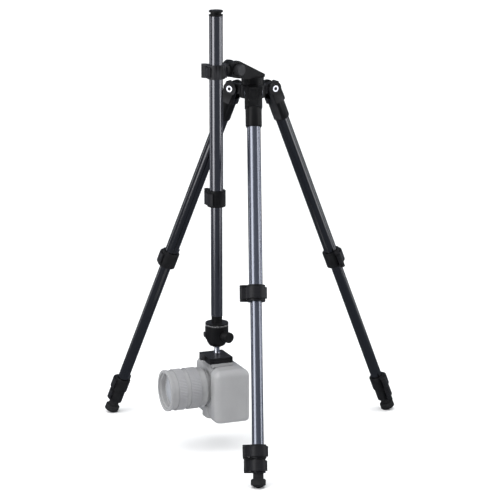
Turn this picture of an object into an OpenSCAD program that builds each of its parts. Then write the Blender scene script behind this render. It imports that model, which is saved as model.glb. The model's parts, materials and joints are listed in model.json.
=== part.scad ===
// Travel tripod with a side arm: three flip-lock legs, a swivelling arm that
// carries an inverted two-section column, a ball head and a hanging camera.
// Millimetres, +Z up, floor at z = 0.

/* [Legs] */
// Angle of each leg from the vertical
leg_angle = 22.5; // [18:0.5:26]
// Distance from the tripod axis to each leg's pivot
pivot_r = 40; // [38:1:46]
// Distance from the pivot to the tip of the foot
leg_len = 722; // [680:1:790]
// Distance from the pivot to the lower end of the first lock
lock_1_end = 385; // [350:1:400]
// Height of the first flip lock
lock_1_h = 30; // [28:1:34]
// Height of the second and third flip locks
lock_2_h = 25; // [23:1:28]
// Height of the rubber foot's cone below its rim
foot_cone_h = 6.5; // [4:0.5:7.5]
// Radius of the rubber foot
foot_r = 13.5; // [12:0.5:15]
// Depth that the floor cuts off the foot's tip
foot_flat = 1; // [0.6:0.1:1.5]

/* [Tubes] */
// Outside diameter of the widest tube
tube_d = 25; // [23:0.5:28]
// Wall of every tube
tube_wall = 1.5; // [1:0.1:1.6]
// Radial gap between tubes that slide in each other
slide_gap = 0.3; // [0.25:0.05:0.4]

/* [Hub and arm] */
// Radius of the hub and its turntable
hub_r = 24; // [22:0.5:25]
// Half width of a hub lug, between the yoke's cheeks
lug_half = 8.7; // [7:0.1:10]
// Thickness of a yoke cheek
cheek = 7; // [5:0.5:8]
// Direction of the arm, counter-clockwise from +X
arm_az = 225; // [215:1:235]
// Distance from the tripod axis to the arm's tilt axis
tilt_r = 54; // [50:1:58]
// Height of the arm's axis above the leg pivots
arm_rise = 45; // [43:1:52]
// Half width of the arm's fork
fork_half = 13; // [11:0.5:14]
// Radius of the arm's fork at the tilt axis
fork_r = 16; // [14:0.5:17]

/* [Column] */
// Distance from the tripod axis to the column
column_r = 97; // [96:1:115]
// Height of the column's upper end above the arm's axis
column_up = 102; // [80:1:140]
// Length of the upper column tube
column_1_len = 352; // [300:1:380]
// Length of the lower column tube
column_2_len = 340; // [280:1:350]
// Length of the lower column tube that shows
column_2_out = 208; // [150:1:230]
// Height of the arm's column clamp
clamp_h = 25.6; // [22:0.2:30]

/* [Head] */
// Radius of the ball head's body
head_r = 21.5; // [20:0.5:24]
// Radius of the ball
ball_r = 13; // [12:0.5:14]
// Direction that the lens faces, counter-clockwise from +X
lens_az = 200; // [180:1:220]
// Length of the plate clamp along the lens
clamp_x = 42; // [40:1:46]
// Width of the plate clamp
clamp_y = 54; // [48:1:60]

/* [Camera] */
// Width of the camera body
cam_w = 127; // [115:1:140]
// Height of the camera body
cam_h = 97; // [90:1:100]
// Distance from the column axis to the body's front
cam_front = 21; // [18:1:26]
// Distance from the column axis to the rear cover's outside
cam_rear = 42; // [36:1:45]
// Distance from the column axis to the lens's front rim
lens_front = 104; // [95:1:125]
// Outside radius of the lens barrel
lens_r = 37; // [36:0.5:38]
// Height of the lens axis from the camera's base
lens_drop = 43; // [41:1:50]
// Wall of the camera's shells
cam_wall = 2.5; // [2:0.1:3]
// Radius of the filter thread
filter_r = 33.5; // [30:0.5:34.5]

/* [Hidden] */
$fn = 48;
// Gap between fixed pieces of one assembly, and radial gap of a pin in its bore
fit = 0.05;
// Gap between faces that move past each other
gap = 0.3;
// Overrun of a cut past the face it opens
over = 1;

// Tubes: outer radii of the four leg sections, widest first
tube_step = tube_wall + slide_gap;
tube_r = [for (i = [0:3]) tube_d / 2 - i * tube_step];

// Legs: stations measured down the leg from the pivot
seat_top = 27;
yoke_end = 64;
yoke_r = tube_r[0] + 2.5;
lock_heights = [lock_1_h, lock_2_h, lock_2_h];
lever_heights = [lock_1_h - 9, lock_2_h - 6, lock_2_h - 6];
foot_neck = leg_len - foot_cone_h - 21.5;
lock_ends = [lock_1_end, foot_neck - lock_2_h - 2 * gap, foot_neck];
section_ends = [for (i = [0:2]) lock_ends[i] - lock_heights[i] / 2];
section_tops = [seat_top, 300, 352, 378];
section_4_end = leg_len - foot_cone_h - 4;
foot_neck_r = 9.5;
foot_rim = 11;
pivot_z = leg_len * cos(leg_angle) - foot_flat;
foot_reach = pivot_r + leg_len * sin(leg_angle);
hub_y = (foot_reach + foot_r) / 4 - 7.2;
LEG_TURN = [0, 240, 120];

// Flip locks
lock_wall = 4.5;
ear_out = 17;
pin_out = 12.3;
ear_half = 4.7;
pin_r = 1.5;
lever_gap = 0.5;
lever_t = 3;
leg_wrap = 168;

// Hub
hub_low = -14;
hub_high = 10;
lug_r = 10;
lug_drop = 9;
axle_r = 3;
axle_head_r = 6;
lug_slot = 16;
socket_boss = 8;
spigot_r = 8;
cheek_r = 13;
yoke_half = lug_half + gap + cheek;
socket_r = 3.18;
socket_depth = 8;
socket_z = -2;

// Arm
table_low = hub_high + gap;
table_high = table_low + 13.5;
table_r = hub_r - 3;
tongue_half = 6;
bolt_r = 4;
knob_r = 10;
knob_out = fork_half + 11;
recess = 2.5;
neck_pin_r = 5;
neck_step = 0.6;
neck_r = 11.5;
flange_r = 12.7;
neck_end = column_r - tube_r[0] - 11.5;
arm_z = pivot_z + arm_rise;
ring_r = tube_r[0] + slide_gap + 3.4;

// Column
column_top = arm_z + column_up;
column_1_low = column_top - column_1_len;
collar_h = 30;
collar_low = column_1_low;
column_2_low = collar_low - column_2_out;
col_tube_r = [tube_r[0], tube_r[0] - tube_step];
ear_az = arm_az - 90;
clamp_turn = 108;

// Head: heights below the lower tube's end
stud_r = 10;
rim_h = 6;
base_h = 18.5;
base_z = column_2_low - base_h;
ball_drop = 30;
ball_z = base_z - ball_drop;
mouth_drop = 39;
stem_r = 5;
block_top = base_z - 56;
block_h = 10.5;
channel = 5.5;
block_low = block_top - block_h;
plate_h = 6;
pad_x = 40;
pad_y = 58;
cam_z = block_low - plate_h;
jaw_w = 8;
dovetail = 3;
rail_y = 14;
rail_r = 1.5;
clamp_screw_r = 2;
screw_r = 3.1;
pan_pin_r = 6;
pan_pin_h = 9;
post_r = 3;
knob_drop = 16;
knob_az = 305;
pan_knob_az = 190;

// Camera, in its own frame: +X along the lens, +Y to the grip, 0 at the base
corner = 9;
grip_out = 5;
grip_w = 34;
hump_h = 4;
hump_w = 44;
hump_off = 6;
cover_t = 8;
mount_r = 31;
zoom_from = 44;
zoom_to = 64;
focus_from = 72;
focus_to = 88;
ring_t = 1.5;
filter_depth = 4;
glass_seat = filter_depth + 8;
shutter_x = cam_front + grip_out - 8;
shutter_y = cam_w / 2 - 16;
shutter_r = 5;
dial_x = -8;
dial_y = cam_w / 2 - 26;
dial_pin_r = 2;

module in_hub() {
    translate([0, hub_y, pivot_z])
        children();
}

// Frame of one leg: pivot at the origin, the leg along -Z, outward along -Y
module leg_frame(turn) {
    in_hub()
        rotate(turn)
            translate([0, -pivot_r, 0])
                rotate([-leg_angle, 0, 0])
                    children();
}

// Frame of the arm: +X from the tripod axis to the column, at the arm's height
module arm_frame() {
    in_hub()
        rotate(arm_az)
            translate([0, 0, arm_rise])
                children();
}

module column_frame() {
    in_hub()
        rotate(arm_az)
            translate([column_r, 0, -pivot_z])
                rotate(-arm_az)
                    children();
}

module camera_frame() {
    column_frame()
        translate([0, 0, cam_z])
            rotate(lens_az)
                children();
}

// Cylinder along X, centred on x
module rod_x(r, len, x = 0) {
    translate([x, 0, 0])
        rotate([0, 90, 0])
            cylinder(r = r, h = len, center = true);
}

// Cylinder along Y, from y0 to y1
module rod_y(r, y0, y1) {
    translate([0, y0, 0])
        rotate([-90, 0, 0])
            cylinder(r = r, h = y1 - y0);
}

// Tube from z0 up to z1
module tube(r, z0, z1) {
    translate([0, 0, z0])
        difference() {
            cylinder(r = r, h = z1 - z0);
            translate([0, 0, -over])
                cylinder(r = r - tube_wall, h = z1 - z0 + 2 * over);
        }
}

// Collar of a flip lock around a tube of radius r, centred on z = 0, ears at -X.
// The lower half closes onto the next tube, of radius inner.
module lock_collar(r, inner, h, lever_h) {
    slot = lever_h + 2 * gap;
    difference() {
        union() {
            cylinder(r = r + lock_wall, h = h, center = true);
            lock_ears(r, h, slot);
        }
        cylinder(r = r + fit, h = h + over);
        translate([0, 0, -h])
            cylinder(r = inner + slide_gap, h = 2 * h);
    }
    translate([-r - pin_out, 0, 0])
        cylinder(r = pin_r, h = h - over, center = true);
}

// Two ears at -X that hold a lever's pin, with a slot between them for the lever
module lock_ears(r, h, slot) {
    difference() {
        union() {
            translate([-r - pin_out, -ear_half, -h / 2])
                cube([pin_out + r / 2, 2 * ear_half, h]);
            translate([-r - pin_out, 0, 0])
                cylinder(r = ear_half, h = h, center = true);
        }
        translate([-r - ear_out - over, -2 * ear_half, -slot / 2])
            cube([ear_out + over, 4 * ear_half, slot]);
    }
}

// Lever of the same lock: a boss on the pin and a band round the -Y side
module lock_lever(r, lever_h, wrap) {
    band_r = r + lock_wall + lever_gap;
    difference() {
        union() {
            rotate(180)
                rotate_extrude(angle = wrap)
                    translate([band_r, -lever_h / 2])
                        square([lever_t, lever_h]);
            translate([-r - pin_out, 0, 0])
                cylinder(r = ear_half, h = lever_h, center = true);
            translate([-r - pin_out, -ear_half, -lever_h / 2])
                cube([pin_out - lock_wall - lever_gap, ear_half - gap, lever_h]);
        }
        translate([-r - pin_out, 0, 0])
            cylinder(r = pin_r + fit, h = lever_h + over, center = true);
        cylinder(r = band_r, h = lever_h + over, center = true);
    }
}

// Yoke at the top of a leg: two cheeks on the axle and a sleeve for the tube
module yoke(turn) {
    slot_half = lug_half + gap;
    color("#1c1c1e")
        leg_frame(turn)
            difference() {
                union() {
                    for (side = [-1, 1])
                        rod_x(cheek_r, cheek, side * (yoke_half - cheek / 2));
                    intersection() {
                        rotate([90, 0, 90])
                            linear_extrude(height = 2 * yoke_half, center = true)
                                polygon([[-cheek_r, 0], [cheek_r, 0], [yoke_r, -28], [-yoke_r, -28]]);
                        translate([0, 0, -30])
                            cylinder(r = yoke_r + 3.5, h = 31);
                    }
                    translate([0, 0, -yoke_end + 3])
                        cylinder(r = yoke_r, h = yoke_end - lug_slot - 3);
                    translate([0, 0, -yoke_end])
                        cylinder(r1 = yoke_r - 1.5, r2 = yoke_r, h = 3);
                }
                translate([-slot_half, -2 * cheek_r, -lug_slot])
                    cube([2 * slot_half, 4 * cheek_r, 40]);
                translate([-slot_half, -yoke_r - over, -26])
                    cube([2 * slot_half, yoke_r - 10, 12]);
                rod_x(axle_r + fit, 4 * yoke_half);
                translate([0, 0, -yoke_end - over])
                    cylinder(r = tube_r[0] + fit, h = yoke_end - seat_top + over + fit);
                for (side = [-1, 1])
                    rod_x(axle_head_r + gap, 2, side * yoke_half);
            }
}

// Tab that is pulled out to let the leg open past its first stop
module angle_tab(turn) {
    color("#242428")
        leg_frame(turn)
            difference() {
                translate([-lug_half, -yoke_r, -25.6])
                    cube([2 * lug_half, 3.8, 33]);
                translate([-lug_half + 2.5, -yoke_r - over, -15])
                    cube([2 * lug_half - 5, over + 1, 18]);
            }
}

// Tube and lock collar of a leg section; section 0 is the upper one
module leg_section(turn, i) {
    color(i == 0 ? "#8d93a8" : "#8a8fa2")
        leg_frame(turn) {
            tube(tube_r[i], -section_ends[i] + fit, -section_tops[i]);
            translate([0, 0, -section_ends[i]])
                lock_collar(tube_r[i], tube_r[i + 1], lock_heights[i], lever_heights[i]);
        }
}

module leg_lever(turn, i) {
    color("#2a2a2e")
        leg_frame(turn)
            translate([0, 0, -section_ends[i]])
                lock_lever(tube_r[i], lever_heights[i], leg_wrap);
}

module last_section(turn) {
    color("#8a8fa2")
        leg_frame(turn)
            tube(tube_r[3], -section_4_end, -section_tops[3]);
}

// Rubber foot, with the flat where it stands on the floor
module foot(turn) {
    rim = leg_len - foot_cone_h;
    color("#1b1b1d")
        difference() {
            leg_frame(turn)
                difference() {
                    union() {
                        translate([0, 0, -rim])
                            cylinder(r = foot_neck_r, h = rim - foot_neck - gap);
                        translate([0, 0, -rim])
                            cylinder(r = foot_r, h = foot_rim - 2);
                        translate([0, 0, -rim + foot_rim - 2])
                            cylinder(r1 = foot_r, r2 = foot_r - 2, h = 2);
                        translate([0, 0, -leg_len])
                            cylinder(r1 = 0.3, r2 = foot_r, h = foot_cone_h);
                    }
                    translate([0, 0, -section_4_end - fit])
                        cylinder(r = tube_r[3] + fit, h = 60);
                }
            translate([-2 * leg_len, -2 * leg_len, -leg_len])
                cube([4 * leg_len, 4 * leg_len, leg_len]);
        }
}

// Central casting: three lugs, the turntable's bearing and a 1/4 inch socket
module hub() {
    lug_len = pivot_r - hub_r / 2;
    color("#1a1a1c")
        in_hub()
            difference() {
                union() {
                    translate([0, 0, hub_low])
                        cylinder(r = hub_r, h = hub_high - hub_low, $fn = 96);
                    for (turn = LEG_TURN)
                        rotate(turn) {
                            translate([-lug_half, -pivot_r, -lug_drop])
                                cube([2 * lug_half, lug_len, 2 * lug_drop]);
                            translate([0, -pivot_r, 0])
                                rod_x(lug_r, 2 * lug_half);
                        }
                    translate([-socket_boss, 0, socket_z - socket_boss])
                        cube([2 * socket_boss, hub_r + 1.5, 2 * socket_boss]);
                }
                translate([0, 0, -2 * hub_r])
                    cylinder(r = spigot_r + fit, h = 4 * hub_r);
                for (turn = LEG_TURN)
                    rotate(turn)
                        translate([0, -pivot_r, 0])
                            rod_x(axle_r + fit, 4 * lug_half);
                translate([0, 0, socket_z])
                    rod_y(socket_r, hub_r + 1.5 - socket_depth, hub_r + 3);
            }
}

// The three hinge axles with their ring-shaped heads
module leg_axles() {
    color("#d8d8dc")
        in_hub()
            for (turn = LEG_TURN)
                rotate(turn)
                    translate([0, -pivot_r, 0]) {
                        rod_x(axle_r, 2 * yoke_half - 1);
                        for (side = [-1, 1])
                            difference() {
                                rod_x(axle_head_r, 1.6, side * (yoke_half - 0.1));
                                rod_x(2, over, side * (yoke_half + 0.9));
                            }
                    }
}

// Turntable on the hub with the sloping fork that carries the arm
module turntable() {
    rest = table_high - arm_rise;
    color("#1e1e20") {
        in_hub() {
            translate([0, 0, table_low])
                cylinder(r = table_r, h = table_high - table_low, $fn = 96);
            translate([0, 0, hub_low - 3])
                cylinder(r = spigot_r, h = table_low - hub_low + 4);
            translate([0, 0, hub_low - 4])
                cylinder(r = spigot_r + 4, h = 4 - gap);
        }
        arm_frame()
            difference() {
                rotate([90, 0, 0])
                    linear_extrude(height = 2 * fork_half, center = true)
                        hull() {
                            translate([tilt_r, 0])
                                circle(r = fork_r, $fn = 72);
                            translate([-20, rest - 1])
                                square([40, 5]);
                        }
                translate([tilt_r - fork_r - 2, -tongue_half - gap, -2 * fork_r])
                    cube([4 * fork_r, 2 * (tongue_half + gap), 4 * fork_r]);
                translate([tilt_r, 0, 0])
                    rod_y(bolt_r + fit, -2 * fork_half, 2 * fork_half);
                translate([tilt_r, 0, 0])
                    rod_y(knob_r + 2, fork_half - recess, 2 * fork_half);
            }
    }
}

// Tension knob and bolt of the tilt joint
module tilt_knob() {
    color("#4a4a4e")
        arm_frame()
            translate([tilt_r, 0, 0]) {
                rod_y(bolt_r, -fork_half - 3, knob_out - 1);
                rod_y(knob_r, fork_half - recess + gap, knob_out);
                rod_y(7, -fork_half - 5, -fork_half - gap);
            }
}

// Tongue and neck between the fork and the column clamp
module arm_neck() {
    neck_start = tilt_r + fork_r + neck_step;
    color("#1a1a1c")
        arm_frame()
            difference() {
                union() {
                    translate([tilt_r, 0, 0])
                        rod_y(fork_r - 1, -tongue_half, tongue_half);
                    translate([tilt_r, -tongue_half, -neck_r + 1])
                        cube([fork_r + 2, 2 * tongue_half, 2 * neck_r - 2]);
                    translate([neck_start, 0, 0])
                        rotate([0, 90, 0])
                            cylinder(r = neck_r, h = neck_end - neck_start - gap);
                    translate([neck_start, 0, 0])
                        rotate([0, 90, 0])
                            cylinder(r = neck_pin_r, h = neck_end - neck_start + 4);
                }
                translate([tilt_r, 0, 0])
                    rod_y(bolt_r + fit, -2 * fork_half, 2 * fork_half);
            }
}

// Clamp on the arm that grips the upper column tube
module column_clamp() {
    color("#1c1c1e")
        arm_frame()
            difference() {
                union() {
                    translate([column_r, 0, 0])
                        rotate(clamp_turn)
                            clamp_body();
                    translate([neck_end, 0, 0])
                        rotate([0, 90, 0])
                            cylinder(r = flange_r, h = 6);
                    translate([neck_end + 5, -9, -clamp_h / 2])
                        cube([column_r - neck_end - 16, 18, clamp_h]);
                }
                translate([neck_end - over, 0, 0])
                    rotate([0, 90, 0])
                        cylinder(r = neck_pin_r + fit, h = 5.5);
                translate([column_r, 0, 0])
                    cylinder(r = tube_r[0] + slide_gap, h = 2 * clamp_h, center = true);
            }
}

// Body of the column clamp, ears at -X, without its bore
module clamp_body() {
    lever_h = clamp_h - 8;
    cylinder(r = ring_r, h = clamp_h, center = true);
    lock_ears(tube_r[0], clamp_h, lever_h + 2 * gap);
    translate([-tube_r[0] - pin_out, 0, 0])
        cylinder(r = pin_r, h = clamp_h - over, center = true);
}

module clamp_lever() {
    color("#26262a")
        arm_frame()
            translate([column_r, 0, 0])
                rotate(clamp_turn)
                    lock_lever(tube_r[0], clamp_h - 8, 84);
}

module column_upper() {
    color("#6d6f7c")
        column_frame()
            tube(col_tube_r[0], column_1_low + collar_h / 2 + fit, column_top);
}

module column_cap() {
    color("#141416")
        column_frame()
            translate([0, 0, column_top]) {
                translate([0, 0, -12])
                    cylinder(r = tube_r[0] - tube_wall - fit, h = 13);
                translate([0, 0, fit])
                    cylinder(r = tube_r[0] + 0.5, h = 2.5);
                cylinder(r = 9.8, h = 8);
                translate([0, 0, 6.5])
                    cylinder(r = tube_r[0] + 0.3, h = 3.5);
            }
}

module column_collar() {
    color("#1c1c1e")
        column_frame()
            translate([0, 0, collar_low + collar_h / 2])
                rotate(ear_az - 180)
                    lock_collar(col_tube_r[0], col_tube_r[1], collar_h, collar_h - 8);
}

module column_lever() {
    color("#26262a")
        column_frame()
            translate([0, 0, collar_low + collar_h / 2])
                rotate(ear_az - 180)
                    lock_lever(col_tube_r[0], collar_h - 8, 115);
}

module column_lower() {
    color("#63656f")
        column_frame()
            tube(col_tube_r[1], column_2_low, column_2_low + column_2_len);
}

// Fixed base of the ball head, screwed into the lower column tube
module head_base() {
    color("#1d1d1f")
        column_frame() {
            translate([0, 0, column_2_low - over])
                cylinder(r = col_tube_r[1] - tube_wall - fit, h = 15);
            translate([0, 0, base_z])
                cylinder(r = stud_r, h = base_h - fit);
            translate([0, 0, base_z])
                cylinder(r = head_r, h = rim_h, $fn = 96);
            translate([0, 0, base_z - pan_pin_h])
                cylinder(r = pan_pin_r, h = pan_pin_h + over);
        }
}

// Half outline of the head's housing, from its top face to its mouth
function bowl() = [
    for (a = [0:15:75])
        [head_r - (head_r - ball_r + 3) * (1 - cos(a)), -12 - (mouth_drop - 12) * sin(a)]
];

// Panning housing of the ball head: a bowl round the ball
module head_housing() {
    mouth_r = sqrt(pow(ball_r + gap, 2) - pow(mouth_drop - ball_drop, 2));
    color("#1d1d1f")
        column_frame()
            translate([0, 0, base_z])
                difference() {
                    rotate_extrude($fn = 96)
                        polygon(concat(
                            [[0, -gap], [head_r, -gap]],
                            bowl(),
                            [[mouth_r + 0.8, -mouth_drop], [0, -mouth_drop]]
                        ));
                    translate([0, 0, -pan_pin_h - gap])
                        cylinder(r = pan_pin_r + fit, h = 20);
                    translate([0, 0, -ball_drop])
                        sphere(r = ball_r + gap, $fn = 72);
                    knob_bore(knob_az, 3);
                    knob_bore(pan_knob_az, 2);
                }
}

// Bore in the housing for a knob's stem
module knob_bore(az, stem) {
    translate([0, 0, -knob_drop])
        rotate(az)
            translate([head_r - 9, 0, 0])
                rotate([0, 90, 0])
                    cylinder(r = stem + fit, h = 20);
}

// Knob on a stem, along +X from the housing's side
module head_knob(az, stem, boss_r, boss_len, cap_r, cap_len) {
    column_frame()
        translate([0, 0, base_z - knob_drop])
            rotate(az)
                rotate([0, 90, 0]) {
                    translate([0, 0, head_r - 8])
                        cylinder(r = stem, h = 10);
                    translate([0, 0, head_r + gap])
                        cylinder(r = boss_r, h = boss_len);
                    translate([0, 0, head_r + gap + boss_len - fit])
                        cylinder(r = cap_r, h = cap_len);
                }
}

module main_knob() {
    color("#202022")
        head_knob(knob_az, 3, 8.5, 7, 10, 11);
}

module pan_knob() {
    color("#202022")
        head_knob(pan_knob_az, 2, 4, 0.6, 5, 2.4);
}

module ball() {
    color("#c9ccd2")
        column_frame()
            translate([0, 0, ball_z])
                difference() {
                    sphere(r = ball_r, $fn = 72);
                    translate([0, 0, -2 * ball_r])
                        cylinder(r = post_r + fit, h = 2 * ball_r);
                    translate([0, 0, -2 * ball_r])
                        cylinder(r = stem_r + gap, h = ball_r + 2);
                }
}

// Stem that joins the ball to the plate clamp
module ball_stem() {
    color("#d3d5da")
        column_frame() {
            translate([0, 0, ball_z - ball_r + 1])
                cylinder(r = post_r, h = ball_r - 1 - gap);
            translate([0, 0, block_top])
                cylinder(r = stem_r, h = ball_z - ball_r + 2 - gap - block_top);
            translate([0, 0, block_top + fit])
                cylinder(r = 6.5, h = 4);
        }
}

// Block of the plate clamp: roof, fixed jaw and the rails of the moving jaw
module plate_clamp() {
    color("#17171a")
        camera_frame()
            translate([0, 0, plate_h])
                difference() {
                    union() {
                        translate([-clamp_x / 2, -clamp_y / 2, channel])
                            cube([clamp_x, clamp_y, block_h - channel]);
                        translate([-clamp_x / 2, -clamp_y / 2, 0])
                            cube([jaw_w, clamp_y, block_h]);
                    }
                    dovetail_cut(-1);
                    translate([0, 0, (block_h + channel) / 2])
                        rod_x(clamp_screw_r + fit, 20, clamp_x / 2);
                    for (y = [-rail_y, rail_y])
                        translate([0, y, (block_h + channel) / 2])
                            rod_x(rail_r + fit, 20, clamp_x / 2);
                }
}

// Undercut that a jaw's inner face takes from the plate's dovetail
module dovetail_cut(side) {
    x = side * (clamp_x / 2 - jaw_w);
    rotate([90, 0, 0])
        linear_extrude(height = clamp_y + 2 * over, center = true)
            polygon([
                [x, -over], [x, 0], [x + side * dovetail, channel + gap],
                [0, channel + gap], [0, -over]
            ]);
}

module clamp_jaw() {
    x0 = clamp_x / 2 + gap;
    color("#1b1b1e")
        camera_frame()
            translate([0, 0, plate_h]) {
                difference() {
                    translate([clamp_x / 2 - jaw_w, -clamp_y / 2, 0])
                        cube([jaw_w + 4, clamp_y, channel - gap]);
                    dovetail_cut(1);
                }
                difference() {
                    translate([x0, -clamp_y / 2, 0])
                        cube([4 - gap, clamp_y, block_h]);
                    translate([0, 0, (block_h + channel) / 2])
                        rod_x(clamp_screw_r + fit, 20, x0);
                }
                for (y = [-rail_y, rail_y])
                    translate([0, y, (block_h + channel) / 2])
                        rod_x(rail_r, 10, clamp_x / 2 - 3);
            }
}

module clamp_knob() {
    color("#202024")
        camera_frame()
            translate([0, 0, plate_h + (block_h + channel) / 2]) {
                rod_x(clamp_screw_r, 14, clamp_x / 2 + 2);
                rod_x(6, 8, clamp_x / 2 + 8 + gap);
            }
}

// Quick-release plate under the camera's base, with its screw
module quick_plate() {
    top = channel - gap;
    color("#9c9ca0")
        camera_frame() {
            difference() {
                union() {
                    translate([-pad_x / 2, -pad_y / 2, fit])
                        cube([pad_x, pad_y, plate_h - gap]);
                    rotate([90, 0, 0])
                        linear_extrude(height = clamp_y, center = true)
                            plate_section(top);
                }
                translate([0, 0, -over])
                    cylinder(r = screw_r + gap, h = 30);
                translate([0, 0, plate_h - 2])
                    cylinder(r = 8, h = 30);
            }
            translate([0, 0, -5])
                cylinder(r = screw_r, h = plate_h + 3.5);
            translate([0, 0, plate_h - 2 + fit])
                cylinder(r = 7, h = 4);
        }
}

// Dovetail part of the plate, above its pad
module plate_section(top) {
    lip = clamp_x / 2 - jaw_w - gap;
    polygon([
        [-lip, plate_h - over], [lip, plate_h - over], [lip, plate_h],
        [lip + dovetail - gap, plate_h + top], [-lip - dovetail + gap, plate_h + top], [-lip, plate_h]
    ]);
}

// Block with rounded vertical edges between two corners
module rounded_block(x0, x1, y0, y1, z0, z1, r) {
    translate([0, 0, z0])
        linear_extrude(height = z1 - z0)
            hull()
                for (x = [x0 + r, x1 - r], y = [y0 + r, y1 - r])
                    translate([x, y])
                        circle(r = r, $fn = 32);
}

// Camera body shell with its grip, viewfinder hump and accessory shoe
module camera_body() {
    half = cam_w / 2;
    joint = -cam_rear + cover_t;
    color("#a9a9ac")
        camera_frame() {
            difference() {
                union() {
                    rounded_block(joint, cam_front, -half, half, -cam_h, 0, corner - 3);
                    rounded_block(joint, cam_front + grip_out, half - grip_w, half, -cam_h, 0, corner);
                    rounded_block(
                        joint, cam_front, -hump_w / 2 - hump_off, hump_w / 2 - hump_off,
                        -cam_h - hump_h, -cam_h + over, 5
                    );
                    translate([cam_front - over, 0, -lens_drop])
                        rod_x(mount_r + 3, 4, over);
                }
                translate([joint - over, -half + cam_wall, -cam_h + cam_wall])
                    cube([cam_front - joint - cam_wall + over, cam_w - 2 * cam_wall, cam_h - 2 * cam_wall]);
                translate([cam_front - 2 * over, 0, -lens_drop])
                    rod_x(mount_r - 4, 30);
                translate([0, 0, -5])
                    cylinder(r = screw_r + fit, h = 10);
                translate([shutter_x, shutter_y, -cam_h - over])
                    cylinder(r = shutter_r + gap, h = 6);
                translate([dial_x, dial_y, -cam_h - over])
                    cylinder(r = dial_pin_r + fit, h = 6);
            }
            shoe();
        }
}

// Accessory shoe on the hump
module shoe() {
    translate([-14, -15, -cam_h - hump_h - 3.5])
        difference() {
            cube([18, 21.6, 3.5 + fit]);
            translate([-over, 1.5, 1.4])
                cube([17, 18.6, 2.1]);
            translate([-over, 4.5, -over])
                cube([17, 12.6, 3.5]);
        }
}

// Rear cover with the screen's frame
module camera_back() {
    half = cam_w / 2;
    back = -cam_rear;
    color("#a2a2a6")
        camera_frame()
            difference() {
                rounded_block(back, back + cover_t - fit, -half, half, -cam_h, 0, 3);
                translate([back + 3, -half + cam_wall + 3, -cam_h + cam_wall + 3])
                    cube([cover_t, cam_w - 2 * cam_wall - 6, cam_h - 2 * cam_wall - 6]);
                translate([back - over, -48, -cam_h + 12])
                    cube([2, 72, 54]);
            }
}

module lens_barrel() {
    color("#a6a6aa")
        camera_frame()
            translate([0, 0, -lens_drop])
                difference() {
                    union() {
                        translate([cam_front - 6, 0, 0])
                            rotate([0, 90, 0])
                                cylinder(r = mount_r - 4 - fit, h = 16);
                        translate([cam_front + 3 + fit, 0, 0])
                            rotate([0, 90, 0])
                                cylinder(r = mount_r, h = 8);
                        translate([cam_front + 10, 0, 0])
                            rotate([0, 90, 0])
                                cylinder(r = lens_r, h = lens_front - cam_front - 10);
                        rod_x(lens_r + ring_t, 6, lens_front - 3);
                    }
                    rod_x(filter_r - 8, 400);
                    rod_x(filter_r, 2 * filter_depth, lens_front);
                    translate([lens_front - glass_seat, 0, 0])
                        rotate([0, 90, 0])
                            cylinder(r = filter_r - 3, h = 20);
                }
}

// Ridged control ring round the barrel, from x0 to x1
module control_ring(x0, x1) {
    camera_frame()
        translate([x0, 0, -lens_drop])
            rotate([0, 90, 0])
                difference() {
                    cylinder(r = lens_r + ring_t + fit, h = x1 - x0, $fn = 96);
                    translate([0, 0, -over])
                        cylinder(r = lens_r + fit, h = x1 - x0 + 2 * over);
                }
}

module zoom_ring() {
    color("#9e9ea2")
        control_ring(zoom_from, zoom_to);
}

module focus_ring() {
    color("#9e9ea2")
        control_ring(focus_from, focus_to);
}

module front_element() {
    glass_r = filter_r - 3 - fit;
    bulge = 60;
    color("#c3cad2")
        camera_frame()
            translate([lens_front - glass_seat + fit, 0, -lens_drop])
                rotate([0, 90, 0])
                    intersection() {
                        cylinder(r = glass_r, h = 8);
                        translate([0, 0, 7 - bulge])
                            sphere(r = bulge, $fn = 96);
                    }
}

module shutter_button() {
    color("#8f8f93")
        camera_frame()
            translate([shutter_x, shutter_y, -cam_h - 2])
                cylinder(r = shutter_r, h = 3.5);
}

module mode_dial() {
    color("#8f8f93")
        camera_frame()
            translate([dial_x, dial_y, -cam_h]) {
                translate([0, 0, -7 - gap])
                    cylinder(r = 9, h = 7);
                translate([0, 0, -1])
                    cylinder(r = dial_pin_r, h = 3.5);
            }
}

hub();
leg_axles();
turntable();
tilt_knob();
arm_neck();
column_clamp();
clamp_lever();
column_upper();
column_cap();
column_collar();
column_lever();
column_lower();
head_base();
head_housing();
main_knob();
pan_knob();
ball();
ball_stem();
plate_clamp();
clamp_jaw();
clamp_knob();
quick_plate();
camera_body();
camera_back();
lens_barrel();
zoom_ring();
focus_ring();
front_element();
shutter_button();
mode_dial();
yoke(LEG_TURN[0]);  // front_yoke
angle_tab(LEG_TURN[0]);  // front_angle_tab
leg_section(LEG_TURN[0], 0);  // front_section_1
leg_lever(LEG_TURN[0], 0);  // front_lever_1
leg_section(LEG_TURN[0], 1);  // front_section_2
leg_lever(LEG_TURN[0], 1);  // front_lever_2
leg_section(LEG_TURN[0], 2);  // front_section_3
leg_lever(LEG_TURN[0], 2);  // front_lever_3
last_section(LEG_TURN[0]);  // front_section_4
foot(LEG_TURN[0]);  // front_foot
yoke(LEG_TURN[1]);  // left_yoke
angle_tab(LEG_TURN[1]);  // left_angle_tab
leg_section(LEG_TURN[1], 0);  // left_section_1
leg_lever(LEG_TURN[1], 0);  // left_lever_1
leg_section(LEG_TURN[1], 1);  // left_section_2
leg_lever(LEG_TURN[1], 1);  // left_lever_2
leg_section(LEG_TURN[1], 2);  // left_section_3
leg_lever(LEG_TURN[1], 2);  // left_lever_3
last_section(LEG_TURN[1]);  // left_section_4
foot(LEG_TURN[1]);  // left_foot
yoke(LEG_TURN[2]);  // right_yoke
angle_tab(LEG_TURN[2]);  // right_angle_tab
leg_section(LEG_TURN[2], 0);  // right_section_1
leg_lever(LEG_TURN[2], 0);  // right_lever_1
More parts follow.
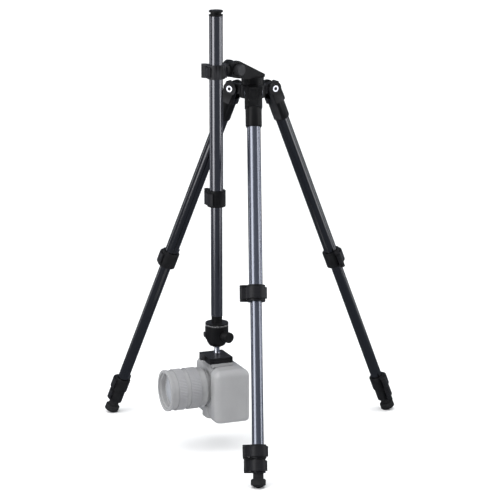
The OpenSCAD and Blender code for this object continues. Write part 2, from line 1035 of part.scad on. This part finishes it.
leg_section(LEG_TURN[2], 1);  // right_section_2
leg_lever(LEG_TURN[2], 1);  // right_lever_2
leg_section(LEG_TURN[2], 2);  // right_section_3
leg_lever(LEG_TURN[2], 2);  // right_lever_3
last_section(LEG_TURN[2]);  // right_section_4
foot(LEG_TURN[2]);  // right_foot
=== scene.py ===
import bmesh
import bpy
import json
import math
from mathutils import Matrix, Vector


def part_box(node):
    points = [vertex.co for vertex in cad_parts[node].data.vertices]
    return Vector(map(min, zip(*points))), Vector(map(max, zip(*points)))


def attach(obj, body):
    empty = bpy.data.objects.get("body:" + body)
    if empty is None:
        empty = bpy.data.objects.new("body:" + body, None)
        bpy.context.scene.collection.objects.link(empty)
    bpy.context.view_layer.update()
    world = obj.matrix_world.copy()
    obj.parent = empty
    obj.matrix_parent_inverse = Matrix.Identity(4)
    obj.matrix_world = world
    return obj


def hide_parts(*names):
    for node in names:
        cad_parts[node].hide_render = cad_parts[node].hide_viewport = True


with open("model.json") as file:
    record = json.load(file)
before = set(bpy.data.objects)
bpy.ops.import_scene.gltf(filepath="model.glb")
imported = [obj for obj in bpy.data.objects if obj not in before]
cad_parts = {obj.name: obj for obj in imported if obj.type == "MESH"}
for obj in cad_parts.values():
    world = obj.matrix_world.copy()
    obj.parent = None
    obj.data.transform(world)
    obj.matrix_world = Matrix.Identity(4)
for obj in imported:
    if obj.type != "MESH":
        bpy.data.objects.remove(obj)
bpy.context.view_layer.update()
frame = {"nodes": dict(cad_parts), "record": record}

# The looks of a camera on a travel tripod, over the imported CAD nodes.
# Lengths are in metres, apart from bevel widths, bump_mm, the view's lens and what is multiplied by MM.
scene = bpy.context.scene
scene.view_settings.view_transform = "Standard"
MM = 0.001
nodes = frame["nodes"]
joints = {j["name"]: j for j in frame["record"]["behaviour"]["joints"]}


# ---------------------------------------------------------------- materials
def new_material(name):
    m = bpy.data.materials.new(name)
    m.use_nodes = True
    nt = m.node_tree
    return m, nt, nt.nodes["Principled BSDF"]


def surface(name, dark, light, rough=(0.35, 0.5), metallic=0.0, scale=60.0, stretch=(1, 1, 1),
            bump=0.15, grain=900.0, bump_mm=0.03, coat=0.0, specular=0.5, wear=None):
    """Colour varied by a broad noise, roughness by a finer one, grain as bump, and lighter worn edges."""
    m, nt, bsdf = new_material(name)
    link = nt.links.new
    coord = nt.nodes.new("ShaderNodeTexCoord")
    mapping = nt.nodes.new("ShaderNodeMapping")
    mapping.inputs["Scale"].default_value = stretch
    link(coord.outputs["Object"], mapping.inputs["Vector"])
    broad = nt.nodes.new("ShaderNodeTexNoise")
    broad.inputs["Scale"].default_value = scale
    broad.inputs["Detail"].default_value = 4.0
    link(mapping.outputs["Vector"], broad.inputs["Vector"])
    ramp = nt.nodes.new("ShaderNodeValToRGB")
    ramp.color_ramp.elements[0].position = 0.3
    ramp.color_ramp.elements[0].color = (*dark, 1)
    ramp.color_ramp.elements[1].position = 0.7
    ramp.color_ramp.elements[1].color = (*light, 1)
    link(broad.outputs["Fac"], ramp.inputs["Fac"])
    colour = ramp.outputs["Color"]
    if wear:
        geo = nt.nodes.new("ShaderNodeNewGeometry")
        edge = nt.nodes.new("ShaderNodeMapRange")
        edge.inputs["From Min"].default_value = 0.53
        edge.inputs["From Max"].default_value = 0.62
        link(geo.outputs["Pointiness"], edge.inputs["Value"])
        patch = nt.nodes.new("ShaderNodeMath")
        patch.operation = "MULTIPLY"
        link(edge.outputs["Result"], patch.inputs[0])
        link(broad.outputs["Fac"], patch.inputs[1])
        mix = nt.nodes.new("ShaderNodeMix")
        mix.data_type = "RGBA"
        link(patch.outputs["Value"], mix.inputs["Factor"])
        link(colour, mix.inputs["A"])
        mix.inputs["B"].default_value = (*wear, 1)
        colour = mix.outputs["Result"]
    link(colour, bsdf.inputs["Base Color"])
    fine = nt.nodes.new("ShaderNodeTexNoise")
    fine.inputs["Scale"].default_value = grain
    fine.inputs["Detail"].default_value = 3.0
    link(mapping.outputs["Vector"], fine.inputs["Vector"])
    span = nt.nodes.new("ShaderNodeMapRange")
    span.inputs["To Min"].default_value = rough[0]
    span.inputs["To Max"].default_value = rough[1]
    link(fine.outputs["Fac"], span.inputs["Value"])
    link(span.outputs["Result"], bsdf.inputs["Roughness"])
    relief = nt.nodes.new("ShaderNodeBump")
    relief.inputs["Strength"].default_value = bump
    relief.inputs["Distance"].default_value = bump_mm * MM
    link(fine.outputs["Fac"], relief.inputs["Height"])
    link(relief.outputs["Normal"], bsdf.inputs["Normal"])
    bsdf.inputs["Metallic"].default_value = metallic
    bsdf.inputs["Specular IOR Level"].default_value = specular
    if coat:
        bsdf.inputs["Coat Weight"].default_value = coat
        bsdf.inputs["Coat Roughness"].default_value = 0.12
    return m


def anodised_tube(name, dark, light, rough):
    return surface(name, dark, light, rough=rough, metallic=1.0, scale=14, stretch=(1, 1, 0.12), grain=1500,
                   bump=0.02, bump_mm=0.004)


anodised = anodised_tube("anodised_blue_grey", (0.29, 0.305, 0.355), (0.32, 0.335, 0.385), (0.22, 0.28))
# painted shade: the side legs' tubes are the same anodised metal as the front leg's, given a darker copy of
# its colour
anodised_painted_shade = anodised_tube("anodised_painted_shade", (0.12, 0.12, 0.125), (0.145, 0.145, 0.15), (0.14, 0.2))
anodised_column = anodised_tube("anodised_column", (0.20, 0.20, 0.215), (0.225, 0.225, 0.24), (0.18, 0.24))
casting = surface("black_casting", (0.004, 0.004, 0.0045), (0.007, 0.007, 0.0075), rough=(0.3, 0.44),
                  scale=90, grain=2600, bump=0.3, bump_mm=0.03, specular=0.22, wear=(0.045, 0.045, 0.05))
plastic = surface("black_plastic", (0.004, 0.004, 0.0045), (0.008, 0.008, 0.0085), rough=(0.35, 0.5),
                  scale=120, grain=3200, bump=0.25, bump_mm=0.03, specular=0.22)
lever_plastic = surface("lever_plastic", (0.007, 0.007, 0.0085), (0.013, 0.013, 0.015), rough=(0.32, 0.46),
                        scale=60, stretch=(1, 1, 9), grain=1100, bump=0.4, bump_mm=0.05, specular=0.28)
knob_grey = surface("knob_plastic", (0.022, 0.022, 0.024), (0.034, 0.034, 0.037), rough=(0.3, 0.4),
                    scale=80, grain=1500, bump=0.3, bump_mm=0.03, specular=0.35)
tick_paint = surface("tick_paint", (0.42, 0.42, 0.43), (0.5, 0.5, 0.51), rough=(0.4, 0.5), scale=200,
                     grain=2500, bump=0.05, bump_mm=0.01)
rubber = surface("foot_rubber", (0.010, 0.010, 0.011), (0.017, 0.017, 0.018), rough=(0.6, 0.8), scale=70,
                 grain=1800, bump=0.4, bump_mm=0.05, specular=0.2)
chrome = surface("chrome", (0.62, 0.63, 0.68), (0.72, 0.73, 0.78), rough=(0.07, 0.16), metallic=1.0,
                 scale=80, grain=1200, bump=0.03, bump_mm=0.005)
alloy = surface("plate_alloy", (0.42, 0.42, 0.44), (0.52, 0.52, 0.54), rough=(0.3, 0.42), metallic=1.0,
                scale=60, stretch=(1, 6, 1), grain=1400, bump=0.1, bump_mm=0.01)
shell = surface("camera_shell", (0.30, 0.30, 0.304), (0.33, 0.33, 0.334), rough=(0.2, 0.28), scale=25,
                grain=2200, bump=0.05, bump_mm=0.01, specular=0.6, coat=0.35)
shell_ring = surface("camera_ring", (0.26, 0.26, 0.27), (0.30, 0.30, 0.31), rough=(0.42, 0.55), scale=30,
                     grain=2200, bump=0.2, bump_mm=0.02, specular=0.4)
screen_glass = surface("screen_glass", (0.16, 0.16, 0.17), (0.19, 0.19, 0.2), rough=(0.08, 0.14), scale=20,
                       grain=900, bump=0.02, bump_mm=0.005, specular=0.6)
glass = surface("lens_glass", (0.30, 0.31, 0.33), (0.35, 0.36, 0.38), rough=(0.05, 0.09), scale=15,
                grain=600, bump=0.02, bump_mm=0.004, coat=0.6, specular=0.7)

SLOT_MATERIAL = {
    "leg_tube": anodised, "column_tube": anodised_column, "foot_rubber": rubber,
    "lever_plastic": lever_plastic, "axle_chrome": chrome, "ball_chrome": chrome, "lens_glass": glass,
    "plate_alloy": alloy, "camera_shell": shell, "black_casting": casting, "black_plastic": plastic,
}
slot_of = {s["node"]: s["material_slot"] for s in frame["record"]["subparts"]}
body_of = {n: b for b, ns in frame["record"]["behaviour"]["bodies"].items() for n in ns}


# ---------------------------------------------------------------- pieces
def smooth_by_angle(me, degrees=32):
    for p in me.polygons:
        p.use_smooth = True
    me.set_sharp_from_angle(angle=math.radians(degrees))


def as_piece(bm, name, material, body, replaces=(), bevel=None, segments=2, angle=30):
    """A piece that rides a body, with its edges rounded by `bevel` millimetres."""
    me = bpy.data.meshes.new(name)
    bmesh.ops.recalc_face_normals(bm, faces=bm.faces)
    bm.to_mesh(me)
    bm.free()
    ob = bpy.data.objects.new(name, me)
    scene.collection.objects.link(ob)
    me.materials.append(material)
    smooth_by_angle(me)
    if bevel:
        mod = ob.modifiers.new("edges", "BEVEL")
        mod.width = bevel * MM
        mod.segments = segments
        mod.limit_method = "ANGLE"
        mod.angle_limit = math.radians(angle)
        mod.harden_normals = True
        mod.use_clamp_overlap = True
    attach(ob, body)
    if replaces:
        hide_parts(*replaces)


def loose_parts(bm):
    """The vertices of each connected part."""
    seen, parts = set(), []
    for v in bm.verts:
        if v in seen:
            continue
        stack, part = [v], []
        seen.add(v)
        while stack:
            a = stack.pop()
            part.append(a)
            for e in a.link_edges:
                b = e.other_vert(a)
                if b not in seen:
                    seen.add(b)
                    stack.append(b)
        parts.append(part)
    return parts


def cad_bmesh(node):
    bm = bmesh.new()
    bm.from_mesh(nodes[node].data)
    bmesh.ops.remove_doubles(bm, verts=bm.verts, dist=2e-6)
    bmesh.ops.dissolve_limit(bm, angle_limit=math.radians(0.6), verts=bm.verts, edges=bm.edges)
    return bm


def refine(node, bevel, material=None, segments=2):
    """The CAD node with rounded edges, in its place."""
    as_piece(cad_bmesh(node), node + "_finished", material or SLOT_MATERIAL[slot_of[node]], body_of[node],
             (node,), bevel, segments)


def refine_section(node, tube_material):
    """A leg section: its tube and its lock collar become two pieces."""
    bm = cad_bmesh(node)
    parts = loose_parts(bm)

    def girth(part):
        lo = Vector([min(v.co[i] for v in part) for i in range(3)])
        hi = Vector([max(v.co[i] for v in part) for i in range(3)])
        return (hi - lo).length

    parts.sort(key=girth)
    split = bm.copy()
    bm.verts.index_update()
    split.verts.ensure_lookup_table()
    tube_ids = {v.index for v in parts[-1]}
    bmesh.ops.delete(split, geom=[v for v in split.verts if v.index not in tube_ids], context="VERTS")
    bmesh.ops.delete(bm, geom=parts[-1], context="VERTS")
    as_piece(split, node + "_tube", tube_material, body_of[node], (node,), TUBE_BEVEL)
    as_piece(bm, node + "_collar", casting, body_of[node], bevel=0.7)


TUBE_BEVEL = 0.35
GREY_KNOBS = ("tilt_knob", "pan_knob", "clamp_knob")
# the front leg gets the blue-grey anodising, the side legs its darker painted-shade copy
LEGS = {"front": anodised, "left": anodised_painted_shade, "right": anodised_painted_shade}
for side, tube_material in LEGS.items():
    for i in (1, 2, 3):
        refine_section(f"{side}_section_{i}", tube_material)
        refine(f"{side}_lever_{i}", 1.3, segments=4)
    refine(f"{side}_section_4", 0.3, tube_material)
    refine(f"{side}_yoke", 1.1, segments=3)
    refine(f"{side}_angle_tab", 0.7)
    refine(f"{side}_foot", 0.8)

for node, width in {
    "hub": 0.9, "leg_axles": 0.4, "turntable": 1.3, "tilt_knob": 0.8, "arm_neck": 0.7,
    "column_clamp": 1.2, "clamp_lever": 1.3, "column_cap": 0.6, "column_collar": 1.0,
    "column_lever": 1.3, "head_base": 0.8, "head_housing": 0.5, "main_knob": 0.8, "pan_knob": 0.6,
    "ball": 0.3, "ball_stem": 0.5, "plate_clamp": 2.0, "clamp_jaw": 1.4, "clamp_knob": 0.6,
    "quick_plate": 0.5, "lens_barrel": 0.9, "shutter_button": 0.6, "mode_dial": 0.7,
    "column_upper": TUBE_BEVEL, "column_lower": TUBE_BEVEL,
}.items():
    refine(node, width, knob_grey if node in GREY_KNOBS else None, segments=3 if width >= 0.8 else 2)


# ---------------------------------------------------------------- small details
PROUD = 0.00012         # how far a painted or dark detail stands off the CAD face under it


def basis(z_axis, x_hint, origin):
    """A frame at `origin` with its z along z_axis and its x as near x_hint as it can be."""
    z = Vector(z_axis).normalized()
    x = (Vector(x_hint) - z * z.dot(Vector(x_hint))).normalized()
    m = Matrix((x, z.cross(x), z)).transposed().to_4x4()
    m.translation = origin
    return m


def disc(bm, matrix, radius, z0, z1, sides=40, top=None):
    """A short turned disc, its far rim narrower by `top`."""
    top = radius if top is None else top
    low, high = [], []
    for k in range(sides):
        c, s = math.cos(2 * math.pi * k / sides), math.sin(2 * math.pi * k / sides)
        low.append(bm.verts.new(matrix @ Vector((radius * c, radius * s, z0))))
        high.append(bm.verts.new(matrix @ Vector((top * c, top * s, z1))))
    bm.faces.new(low[::-1])
    bm.faces.new(high)
    for k in range(sides):
        j = (k + 1) % sides
        bm.faces.new((low[k], low[j], high[j], high[k]))


def block(bm, matrix, lo, hi):
    """A box between two corners."""
    v = [bm.verts.new(matrix @ Vector((x, y, z)))
         for z in (lo[2], hi[2]) for y in (lo[1], hi[1]) for x in (lo[0], hi[0])]
    for f in ((0, 2, 3, 1), (4, 5, 7, 6), (0, 1, 5, 4), (2, 6, 7, 3), (0, 4, 6, 2), (1, 3, 7, 5)):
        bm.faces.new([v[i] for i in f])


# painted shade: a black disc in the middle of each bright axle head stands for the shade inside its drive
# recess
AXLE_HEAD = 0.0007      # how far an axle's head stands out of the yoke
RECESS_SHADE_R, RECESS_SHADE_RIM_R = 0.0036, 0.0033
RECESS_SHADE_DEPTH = 0.0006
for side in LEGS:
    hinge = joints[side + "_leg_fold"]
    axis = Vector(hinge["axis"]).normalized()
    at = Vector(hinge["pos_m"])
    reach = max(abs((v.co - at).dot(axis)) for v in nodes[side + "_yoke"].data.vertices) + AXLE_HEAD
    bm = bmesh.new()
    for way in (1, -1):
        disc(bm, basis(axis * way, (0, 0, 1), at), RECESS_SHADE_R, reach - RECESS_SHADE_DEPTH, reach + PROUD,
             top=RECESS_SHADE_RIM_R)
    as_piece(bm, side + "_axle_recess_painted_shade", casting, "hub")

# degree band on the ball head's fixed base: one long tick in six
TICKS = 48
TICK_HALF_WIDTH = 0.0003
TICK_SHORT, TICK_LONG = 0.0022, 0.0034
PAN = basis((0, 0, 1), (0, -1, 0), Vector(joints["head_pan"]["pos_m"]))
band_lo, band_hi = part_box("head_housing")
tick_z = band_hi.z - PAN.translation.z + 0.0011
band_r = (band_hi.x - band_lo.x) / 2
bm = bmesh.new()
for k in range(TICKS):
    tick = PAN @ Matrix.Rotation(math.radians(360 / TICKS * k), 4, "Z")
    tall = TICK_LONG if k % 6 == 0 else TICK_SHORT
    block(bm, tick, (band_r - 0.0004, -TICK_HALF_WIDTH, tick_z),
          (band_r + PROUD, TICK_HALF_WIDTH, tick_z + tall))
as_piece(bm, "degree_ticks", tick_paint, body_of["head_base"])

# friction block on the housing's side, round the small pan knob's stem
pan_axis = Vector(joints["pan_knob_turn"]["axis"])
SIDE = basis((0, 0, 1), pan_axis, Vector(joints["pan_knob_turn"]["pos_m"]))
bm = bmesh.new()
block(bm, SIDE, (band_r - 0.006, -0.0045, -0.0085), (band_r + 0.0002, 0.0045, 0.0145))
as_piece(bm, "friction_block", casting, "head_housing", bevel=0.7)

# ---------------------------------------------------------------- camera
lens_dir = Vector(joints["zoom_turn"]["axis"]).normalized()
grip_dir = Vector(joints["plate_slide"]["axis"]).normalized()
axis_point = Vector(joints["zoom_turn"]["pos_m"])
base_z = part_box("camera_body")[1].z
CAMERA = Matrix((lens_dir, grip_dir, Vector((0, 0, 1)))).transposed().to_4x4()
CAMERA.translation = Vector((axis_point.x, axis_point.y, base_z))
to_camera = CAMERA.inverted()
lens_z = axis_point.z - base_z
ROUND_STEPS = 7         # steps along each rounded corner


def span(node):
    """The node's extents along the lens, along the grip and up, from the camera's frame."""
    co = [to_camera @ v.co for v in nodes[node].data.vertices]
    return [(min(c[i] for c in co), max(c[i] for c in co)) for i in range(3)]


def fillet(points, steps=ROUND_STEPS):
    """A closed outline from (x, y, radius) corners."""
    out = []
    n = len(points)
    for i, (x, y, r) in enumerate(points):
        p, a, b = Vector((x, y)), Vector(points[i - 1][:2]), Vector(points[(i + 1) % n][:2])
        u, v = (a - p).normalized(), (b - p).normalized()
        half = u.angle(v) / 2
        if r <= 0 or half > math.radians(88):
            out.append(p)
            continue
        back = r / math.tan(half)
        centre = p + (u + v).normalized() * (r / math.sin(half))
        s, e = p + u * back - centre, p + v * back - centre
        turn = math.atan2(s.x * e.y - s.y * e.x, s.dot(e))
        for k in range(steps + 1):
            t = turn * k / steps
            out.append(centre + Vector((s.x * math.cos(t) - s.y * math.sin(t),
                                        s.x * math.sin(t) + s.y * math.cos(t))))
    return out


def prism(outline, z0, z1, matrix):
    """A straight body with the given outline."""
    bm = bmesh.new()
    low = [bm.verts.new(matrix @ Vector((p[0], p[1], z0))) for p in outline]
    high = [bm.verts.new(matrix @ Vector((p[0], p[1], z1))) for p in outline]
    bm.faces.new(low[::-1])
    bm.faces.new(high)
    for i in range(len(low)):
        j = (i + 1) % len(low)
        bm.faces.new((low[i], low[j], high[j], high[i]))
    return bm


RIBS = 84
RIB_DEPTH = 0.45 * MM
RING_WALL = 1.4 * MM
BARE, SMOOTH, RIBBED = range(3)


def ribbed_ring(node):
    """A rubber control ring with raised ribs along the lens."""
    (x0, x1), (y0, y1), _ = span(node)
    outer = (y1 - y0) / 2
    mid_y = (y0 + y1) / 2
    edge = 0.0012
    steps = RIBS * 4
    bm = bmesh.new()
    rings = []
    for x, kind in ((x0, BARE), (x0, SMOOTH), (x0 + edge, SMOOTH), (x0 + edge, RIBBED),
                    (x1 - edge, RIBBED), (x1 - edge, SMOOTH), (x1, SMOOTH), (x1, BARE)):
        ring = []
        for k in range(steps):
            r = outer
            if kind == BARE:
                r -= RING_WALL
            elif kind == RIBBED and k % 4 >= 2:
                r -= RIB_DEPTH
            a = 2 * math.pi * k / steps
            at = Vector((x, mid_y + r * math.cos(a), lens_z + r * math.sin(a)))
            ring.append(bm.verts.new(CAMERA @ at))
        rings.append(ring)
    for a, b in zip(rings, rings[1:]):
        for k in range(len(a)):
            j = (k + 1) % len(a)
            bm.faces.new((a[k], a[j], b[j], b[k]))
    as_piece(bm, node + "_ribbed", shell_ring, body_of[node], (node,))


for node in ("zoom_ring", "focus_ring"):
    ribbed_ring(node)

body_x, body_y, body_z = span("camera_body")
back_x, _, _ = span("camera_back")
rear, grip_x, half = back_x[0], body_x[1], body_y[1]
front = span("lens_barrel")[0][0] + 0.006
bottom = body_z[0] + 0.004


def shrunk(corners, d):
    """The outline's corners moved inwards by d, with their radii reduced to match."""
    pts = [Vector(c[:2]) for c in corners]
    out = []
    for i, (p, c) in enumerate(zip(pts, corners)):
        u, v = (p - pts[i - 1]).normalized(), (pts[(i + 1) % len(pts)] - p).normalized()
        n1, n2 = Vector((-u.y, u.x)), Vector((-v.y, v.x))
        m = (n1 + n2) / (1 + n1.dot(n2))
        out.append((p.x + m.x * d, p.y + m.y * d, max(c[2] - d, 0.0015)))
    return out


def moulded(corners, z_low, z_high, round_low, round_high, matrix, steps=ROUND_STEPS):
    """A body with the given outline and rounded shoulders at both ends."""
    levels = []
    for k in range(steps + 1):
        t = math.pi / 2 * k / steps
        levels.append((z_low + round_low * (1 - math.sin(t)), round_low * (1 - math.cos(t))))
    levels.reverse()
    for k in range(steps + 1):
        t = math.pi / 2 * k / steps
        levels.append((z_high - round_high * (1 - math.sin(t)), round_high * (1 - math.cos(t))))
    bm = bmesh.new()
    rings = [[bm.verts.new(matrix @ Vector((q.x, q.y, z))) for q in fillet(shrunk(corners, d))]
             for z, d in levels]
    for low, high in zip(rings, rings[1:]):
        for i in range(len(low)):
            j = (i + 1) % len(low)
            bm.faces.new((low[i], low[j], high[j], high[i]))
    bm.faces.new(rings[0][::-1])
    bm.faces.new(rings[-1])
    return bm


plan = [
    (rear, -half, 0.012), (front, -half, 0.014), (front, half - 0.040, 0.010),
    (grip_x, half - 0.030, 0.012), (grip_x, half, 0.013), (rear, half, 0.0095),
]
as_piece(moulded(plan, bottom, 0, 0.0075, 0.0135, CAMERA), "camera_body_moulded", shell, "camera",
         ("camera_body", "camera_back"))

hump = fillet([(rear + 0.010, -0.027, 0.008), (front + 0.003, -0.022, 0.01),
               (front + 0.003, 0.010, 0.01), (rear + 0.010, 0.015, 0.008)])
as_piece(prism(hump, bottom - 0.004, bottom + 0.02, CAMERA), "viewfinder_hump", shell, "camera",
         bevel=3.0, segments=4, angle=50)


def rectangle(x0, x1, y0, y1, r=0.0):
    return fillet([(x0, y0, r), (x1, y0, r), (x1, y1, r), (x0, y1, r)])


# accessory shoe on the hump: a floor, two rails and their lips
for name, y0, y1, z0, z1 in (
    ("shoe_floor", -0.0145, 0.0061, -0.0049, -0.0041),
    ("shoe_rail_a", -0.0145, -0.0125, -0.0075, -0.0045),
    ("shoe_rail_b", 0.0041, 0.0061, -0.0075, -0.0045),
    ("shoe_lip_a", -0.0145, -0.0095, -0.0078, -0.0065),
    ("shoe_lip_b", 0.0011, 0.0061, -0.0078, -0.0065),
):
    as_piece(prism(rectangle(-0.014, 0.004, y0, y1), bottom + z0, bottom + z1, CAMERA), name, alloy,
             "camera", bevel=0.25)

SCREEN = (CAMERA @ Matrix.Translation((rear, 0, bottom + 0.040))
          @ Matrix.Rotation(math.radians(90), 4, "Z") @ Matrix.Rotation(math.radians(90), 4, "X"))
as_piece(prism(rectangle(-0.045, 0.030, -0.028, 0.028, 0.003), -0.0004, 0.001, SCREEN), "screen",
         screen_glass, "camera", bevel=0.3)
as_piece(prism(rectangle(-0.048, 0.033, -0.031, 0.031, 0.004), -0.0001, 0.001, SCREEN), "screen_frame",
         shell_ring, "camera", bevel=0.3)

# the plate's pad is the camera's grey, its dovetail above the pad is black
PAD_TOP = 0.0061        # the pad's upper face, above the camera's base
plate = bpy.data.objects["quick_plate_finished"].data
plate.materials[0] = shell
plate.materials.append(casting)
for p in plate.polygons:
    if p.center.z > base_z + PAD_TOP:
        p.material_index = 1
nodes["front_element"].data.materials.clear()
nodes["front_element"].data.materials.append(glass)

# ---------------------------------------------------------------- stage
def prop(bm, name, material):
    """An object of the set, which is no piece of the part."""
    me = bpy.data.meshes.new(name)
    bm.to_mesh(me)
    bm.free()
    me.materials.append(material)
    ob = bpy.data.objects.new(name, me)
    scene.collection.objects.link(ob)
    return ob


bm = bmesh.new()
bmesh.ops.create_grid(bm, x_segments=2, y_segments=2, size=14.0)
paper = surface("floor_paper", (0.86, 0.86, 0.86), (0.88, 0.88, 0.88), rough=(0.8, 0.9), scale=3, grain=200,
                bump=0.02, bump_mm=0.02, specular=0.1)
floor = prop(bm, "floor", paper)
floor.visible_glossy = False

# the world is dim behind the viewer and bright elsewhere
world = bpy.data.worlds.new("studio")
scene.world = world
world.use_nodes = True
wt = world.node_tree
direction = wt.nodes.new("ShaderNodeTexCoord")
axes = wt.nodes.new("ShaderNodeSeparateXYZ")
wt.links.new(direction.outputs["Generated"], axes.inputs["Vector"])
fade = wt.nodes.new("ShaderNodeMapRange")
fade.interpolation_type = "SMOOTHSTEP"
fade.inputs["From Min"].default_value = -0.95
fade.inputs["From Max"].default_value = -0.25
fade.inputs["To Min"].default_value = 0.10
fade.inputs["To Max"].default_value = 0.95
wt.links.new(axes.outputs["Y"], fade.inputs["Value"])
wt.links.new(fade.outputs["Result"], wt.nodes["Background"].inputs["Strength"])
wt.nodes["Background"].inputs["Color"].default_value = (0.96, 0.98, 1.0, 1)

sun = bpy.data.lights.new("broad_light", "SUN")
sun.energy = 1.9
sun.angle = math.radians(70)
sun_ob = bpy.data.objects.new("broad_light", sun)
sun_ob.rotation_euler = (math.radians(18), math.radians(-10), 0)
scene.collection.objects.link(sun_ob)


def softbox(name, where, target, size, power):
    data = bpy.data.lights.new(name, "AREA")
    data.shape = "RECTANGLE"
    data.size, data.size_y = size
    data.energy = power
    ob = bpy.data.objects.new(name, data)
    ob.location = where
    ob.rotation_euler = (Vector(target) - Vector(where)).to_track_quat("-Z", "Y").to_euler()
    ob.visible_camera = False
    scene.collection.objects.link(ob)


softbox("left_strip", (-0.95, -0.75, 1.0), (-0.04, 0, 0.6), (0.75, 2.0), 10)
softbox("right_strip", (1.18, -0.35, 1.0), (-0.04, 0, 0.6), (0.5, 2.0), 5.5)
softbox("left_rim", (-1.3, 0.55, 0.9), (-0.2, 0.1, 0.5), (0.3, 1.8), 2.4)
softbox("right_rim", (1.3, 0.45, 0.9), (0.2, 0.1, 0.5), (0.3, 1.8), 3.5)

# grey cloth all round, seen only in reflections, so that the tubes keep dark edges between the strips;
# painted light: it is no lamp, yet its grey glows as its own emission
cloth_glow, ct, cb = new_material("studio_cloth_painted_glow")
tint = ct.nodes.new("ShaderNodeTexNoise")
tint.inputs["Scale"].default_value = 0.6
shade = ct.nodes.new("ShaderNodeValToRGB")
shade.color_ramp.elements[0].color = (0.085, 0.095, 0.12, 1)
shade.color_ramp.elements[1].color = (0.14, 0.155, 0.19, 1)
ct.links.new(tint.outputs["Fac"], shade.inputs["Fac"])
# painted light: the cloth's grey is emitted rather than lit by the lamps
ct.links.new(shade.outputs["Color"], cb.inputs["Emission Color"])
cb.inputs["Emission Strength"].default_value = 1.0
cb.inputs["Base Color"].default_value = (0.02, 0.02, 0.02, 1)
bm = bmesh.new()
bmesh.ops.create_icosphere(bm, subdivisions=4, radius=3.2, matrix=Matrix.Translation((0, 0, 0.5)))
cloth = prop(bm, "cloth", cloth_glow)
for kind in ("camera", "diffuse", "shadow", "transmission", "volume_scatter"):
    setattr(cloth, "visible_" + kind, False)

# the view: a long lens in front of the part
VIEW_FROM = (-0.1550, -4.5893)          # x and y from the hub
VIEW_HEIGHT = 1.4689
VIEW_TURN, VIEW_TILT = -1.875, 13.563   # degrees
hub = Vector(joints["arm_pan"]["pos_m"])
camera = bpy.data.cameras.new("camera")
camera.sensor_width = 36.0
camera.lens = 181.55
camera.clip_start, camera.clip_end = 0.1, 60
cam = bpy.data.objects.new("camera", camera)
cam.location = (hub.x + VIEW_FROM[0], hub.y + VIEW_FROM[1], VIEW_HEIGHT)
a, e = math.radians(VIEW_TURN), math.radians(VIEW_TILT)
look = Vector((-math.sin(a) * math.cos(e), math.cos(a) * math.cos(e), -math.sin(e)))
right = Vector((math.cos(a), math.sin(a), 0))
up = right.cross(look)
cam.rotation_euler = Matrix((right, up, -look)).transposed().to_euler()
scene.collection.objects.link(cam)
scene.camera = cam
